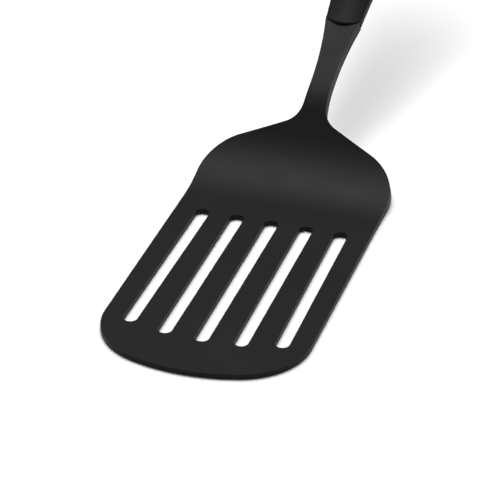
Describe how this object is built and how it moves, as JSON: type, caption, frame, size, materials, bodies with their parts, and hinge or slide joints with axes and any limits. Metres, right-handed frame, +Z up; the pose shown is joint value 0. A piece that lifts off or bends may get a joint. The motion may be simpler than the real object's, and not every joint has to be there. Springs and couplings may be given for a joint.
{
  "type": "slotted grill turner",
  "caption": "Black nylon slotted grill turner with a wide fanned-slot blade, bent shoulder, narrow neck and soft-grip handle.",
  "frame": {"origin": "on the blade's underside, on the centre line, in the middle of the solid land between the slots and the heel", "axes": "+X to the right across the blade, +Y from the blade towards the handle, +Z up, square to the blade"},
  "size_m": [0.0882, 0.3425, 0.1072],
  "materials": {
    "head_nylon": "satin",
    "handle_plastic": "satin",
    "grip_rubber": "matte",
    "screw_steel": "brushed",
    "liner_plastic": "gloss"
  },
  "bodies": {
    "root": {"turner_head": "head_nylon", "handle_upper": "handle_plastic", "handle_lower": "handle_plastic", "grip_pad_upper": "grip_rubber", "grip_pad_lower": "grip_rubber", "handle_screw_front": "screw_steel", "handle_screw_middle": "screw_steel", "handle_screw_rear": "screw_steel", "hang_liner": "liner_plastic"}
  },
  "joints": []
}
